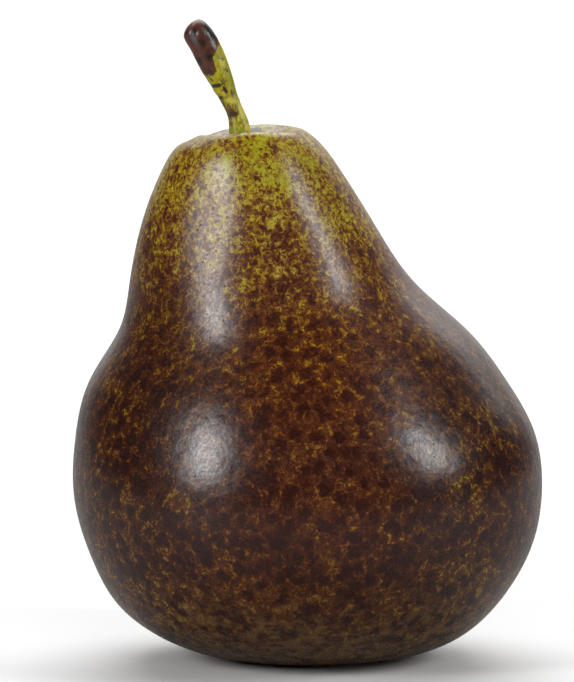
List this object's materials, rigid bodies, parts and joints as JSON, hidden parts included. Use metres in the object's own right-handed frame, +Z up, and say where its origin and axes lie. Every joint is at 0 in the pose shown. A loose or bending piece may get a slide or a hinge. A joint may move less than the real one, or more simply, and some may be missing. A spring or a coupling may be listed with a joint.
{
  "type": "pear",
  "caption": "Fresh pear with a lopsided neck, a club-shaped stem leaning to one side and a dried flower end, standing on a small flat base.",
  "frame": {"origin": "under the middle of the belly, on the surface that the pear stands on", "axes": "+Z up along the pear, from its base to its stem; the front faces -Y and the neck and stem lean towards -X"},
  "size_m": [0.0801, 0.0782, 0.1095],
  "materials": {
    "skin": "waxy satin skin, maroon brown with a golden net, yellow green with brown speckles round the stem",
    "bark": "smooth green bark with a dark brown cap at the tip",
    "dried_sepal": "dry, dull and dark brown"
  },
  "bodies": {
    "root": {"fruit": "skin", "stem": "bark", "calyx": "dried_sepal"}
  },
  "joints": []
}
